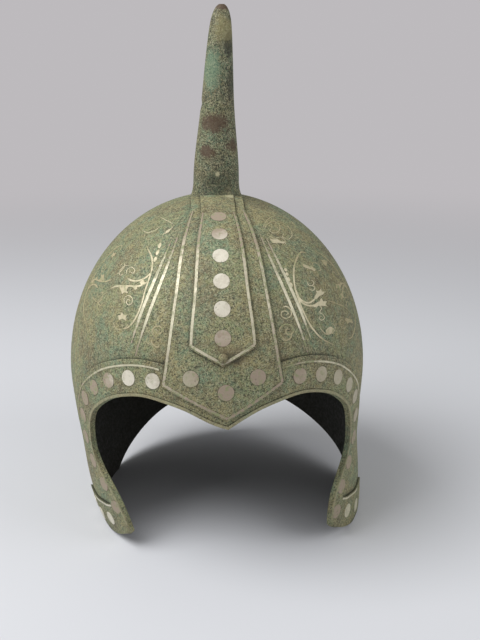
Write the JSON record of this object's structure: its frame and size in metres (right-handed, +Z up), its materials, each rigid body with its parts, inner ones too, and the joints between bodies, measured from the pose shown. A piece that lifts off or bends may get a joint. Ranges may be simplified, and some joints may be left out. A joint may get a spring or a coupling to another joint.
{
  "type": "ancient helmet",
  "caption": "Cast bronze-style helmet: domed bowl with arched face opening, cheek lobes, raised front plates, tall crown spike, and silver disc and wire inlay",
  "frame": {"origin": "on the surface that the helmet stands on, below the middle of the bowl", "axes": "-Y is the face opening, +X is the right of a viewer facing the opening, +Z is up along the crown spike"},
  "size_m": [0.2224, 0.2426, 0.37],
  "materials": {
    "bronze": "matt pitted olive and blue-green patina over cast bronze",
    "spike_bronze": "darker brown-green patina with worn brown patches",
    "silver_wire": "thin silver wire inlay, worn satin, tarnished in places",
    "silver_disc": "flat silver inlay discs, some bright and some tarnished pinkish grey"
  },
  "bodies": {
    "root": {"skull_bowl": "bronze", "outer_front_plate": "bronze", "inner_front_plate": "bronze", "tip_stud": "bronze", "right_edge_band": "bronze", "left_edge_band": "bronze", "right_edge_lip": "bronze", "left_edge_lip": "bronze", "right_lobe_plate": "bronze", "left_lobe_plate": "bronze", "nape_lip": "bronze", "crown_spike": "spike_bronze", "outer_plate_line": "silver_wire", "inner_plate_line": "silver_wire", "right_ray_wires": "silver_wire", "left_ray_wires": "silver_wire", "right_brow_line": "silver_wire", "left_brow_line": "silver_wire", "right_lobe_line": "silver_wire", "left_lobe_line": "silver_wire", "crown_disc_row": "silver_disc", "brow_disc_set": "silver_disc", "right_edge_discs": "silver_disc", "left_edge_discs": "silver_disc", "right_lobe_discs": "silver_disc", "left_lobe_discs": "silver_disc"}
  },
  "joints": []
}
